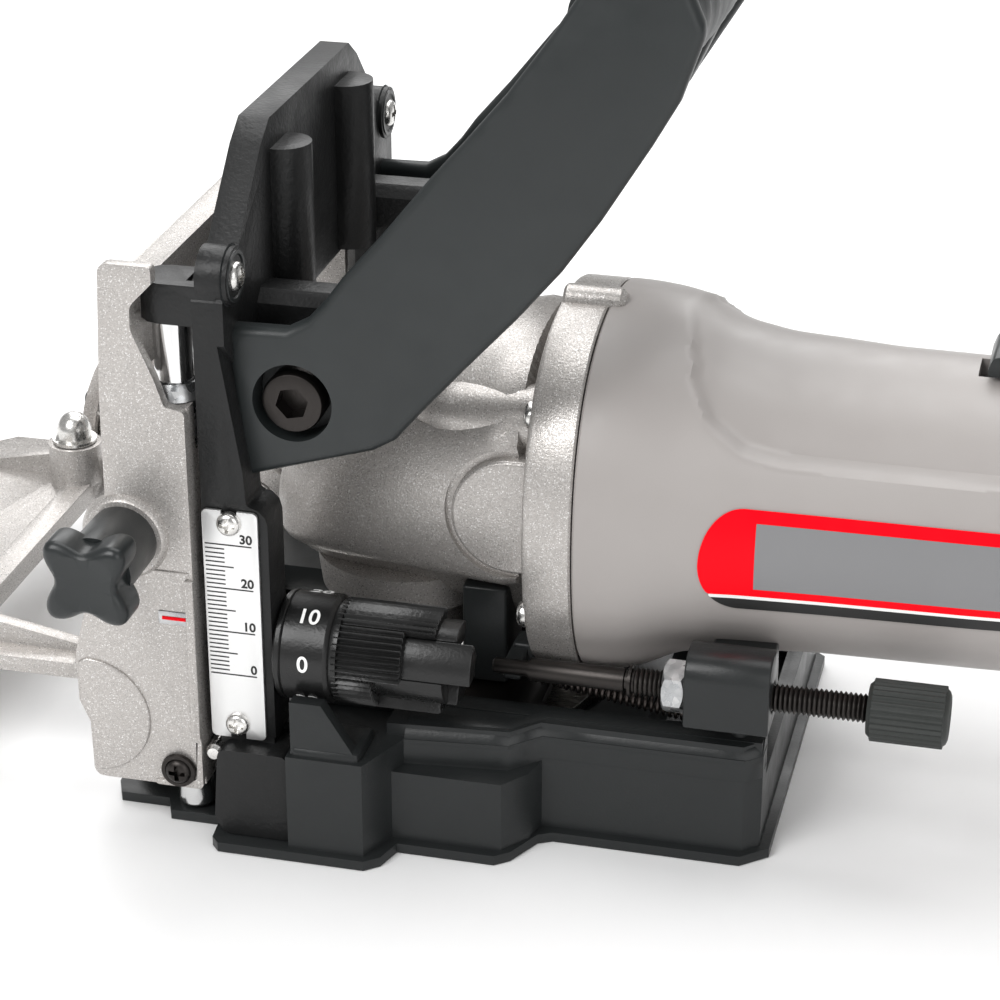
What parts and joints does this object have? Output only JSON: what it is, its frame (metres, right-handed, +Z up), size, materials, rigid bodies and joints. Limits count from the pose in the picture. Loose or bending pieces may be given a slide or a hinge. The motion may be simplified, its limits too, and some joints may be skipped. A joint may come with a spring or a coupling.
{
  "type": "biscuit joiner",
  "caption": "Biscuit joiner: motor and grooving blade that plunge along a flat base, with a tilting, height-adjustable fence, depth turret and top handle.",
  "frame": {"origin": "on the sole plane, at mid width, under the flat front face of the base", "axes": "+X from the front face towards the motor's rear end, +Z up from the sole, -Y the side with the depth rod and height scale"},
  "size_m": [0.352, 0.1685, 0.1927],
  "materials": {
    "black_cast": "black textured paint",
    "black_plastic": "satin",
    "silver_paint": "metallic paint",
    "grey_plastic": "satin",
    "steel": "bright zinc",
    "black_steel": "black oxide",
    "bright_plate": "satin",
    "copper": "turned",
    "carbon": "matt",
    "lamination": "varnished",
    "badge_red": "satin"
  },
  "bodies": {
    "frame": {"base": "black_cast", "sole_plate": "black_cast", "sole_screw_1": "steel", "sole_screw_2": "steel", "sole_screw_3": "steel", "sole_screw_4": "steel", "upright_frame": "black_cast", "guide_post_near": "steel", "guide_post_far": "steel", "post_screw_near": "steel", "post_screw_far": "steel", "handle": "black_plastic", "handle_bolt_near": "black_steel", "handle_bolt_far": "black_steel", "scale_plate": "bright_plate", "scale_screw_top": "steel", "scale_screw_bottom": "steel", "return_spring_near": "black_steel", "return_spring_far": "black_steel", "turret_screw": "steel"},
    "carriage": {"fence_carriage": "silver_paint", "post_bush_near": "steel", "post_bush_far": "steel", "cheek_screw": "black_steel", "angle_quadrant": "silver_paint", "quadrant_screw_1": "steel", "quadrant_screw_2": "steel"},
    "fence": {"fence_plate": "silver_paint", "dome_nut": "steel", "angle_stud": "steel"},
    "angle_clamp": {"angle_knob": "black_plastic"},
    "height_clamp": {"height_knob": "black_plastic"},
    "turret": {"depth_turret": "black_plastic"},
    "motor": {"gear_housing": "silver_paint", "slide_shoe": "steel", "motor_housing": "grey_plastic", "motor_tail": "grey_plastic", "cord_inlet": "black_plastic", "stator": "lamination", "brush_near": "carbon", "brush_far": "carbon", "brush_cap_near": "black_plastic", "brush_cap_far": "black_plastic", "front_bearing": "steel", "spindle_bearing": "steel", "badge": "badge_red", "depth_block": "black_cast"},
    "stop_rod": {"depth_rod": "black_steel"},
    "rod_knob": {"depth_knob": "black_plastic"},
    "rod_nut": {"lock_nut": "steel"},
    "spindle_lock": {"lock_button": "black_plastic"},
    "switch": {"switch_slider": "black_plastic"},
    "armature": {"armature_shaft": "steel", "armature_core": "lamination", "commutator": "copper", "cooling_fan": "black_plastic"},
    "cutter": {"spindle": "steel", "bevel_gear": "steel", "blade": "steel", "clamp_nut": "black_steel"}
  },
  "joints": [
    {"name": "fence_height", "type": "slide", "parent": "frame", "child": "carriage", "axis": [0, 0, 1], "range_m": [-0.006, 0.013]},
    {"name": "fence_tilt", "type": "hinge", "parent": "carriage", "child": "fence", "pos_m": [0, 0, 0.0265], "axis": [0, 1, 0], "range_deg": [0, 90]},
    {"name": "angle_knob_turn", "type": "hinge", "parent": "fence", "child": "angle_clamp", "pos_m": [-0.046, 0.075, 0.0291], "axis": [0, 1, 0], "range_deg": [-15, 270]},
    {"name": "height_knob_turn", "type": "hinge", "parent": "carriage", "child": "height_clamp", "pos_m": [0.0104, -0.07, 0.0695], "axis": [0, -1, 0], "range_deg": [-15, 270]},
    {"name": "turret_turn", "type": "hinge", "parent": "frame", "child": "turret", "pos_m": [0.0403, -0.0514, 0.0424], "axis": [1, 0, 0], "range_deg": [0, 360]},
    {"name": "plunge", "type": "slide", "parent": "frame", "child": "motor", "axis": [-1, 0, 0], "range_m": [0, 0.02], "stiffness_N_per_m": 300, "springref_m": -0.03},
    {"name": "depth_rod_slide", "type": "slide", "parent": "motor", "child": "stop_rod", "axis": [1, 0, 0], "range_m": [-0.003, 0.003]},
    {"name": "depth_knob_turn", "type": "hinge", "parent": "stop_rod", "child": "rod_knob", "pos_m": [0.1616, -0.045, 0.0393], "axis": [1, 0, 0], "range_deg": [-1080, 1080]},
    {"name": "lock_nut_turn", "type": "hinge", "parent": "motor", "child": "rod_nut", "pos_m": [0.1196, -0.045, 0.0393], "axis": [1, 0, 0], "range_deg": [-90, 90]},
    {"name": "spindle_lock_press", "type": "slide", "parent": "motor", "child": "spindle_lock", "axis": [0, 0, -1], "range_m": [0, 0.003], "stiffness_N_per_m": 400, "springref_m": -0.004},
    {"name": "power_switch_slide", "type": "slide", "parent": "motor", "child": "switch", "axis": [-1, 0, 0], "range_m": [0, 0.005]},
    {"name": "armature_spin", "type": "hinge", "parent": "motor", "child": "armature", "pos_m": [0.0925, 0, 0.065], "axis": [1, 0, 0], "continuous": true},
    {"name": "blade_spin", "type": "hinge", "parent": "motor", "child": "cutter", "pos_m": [0.0525, 0, 0.0139], "axis": [0, 0, 1], "continuous": true}
  ],
  "couplings": [
    {"joint": "blade_spin", "follows": "armature_spin", "ratio": 0.32432},
    {"joint": "depth_knob_turn", "follows": "depth_rod_slide", "rad_per_m": 6283.2}
  ]
}
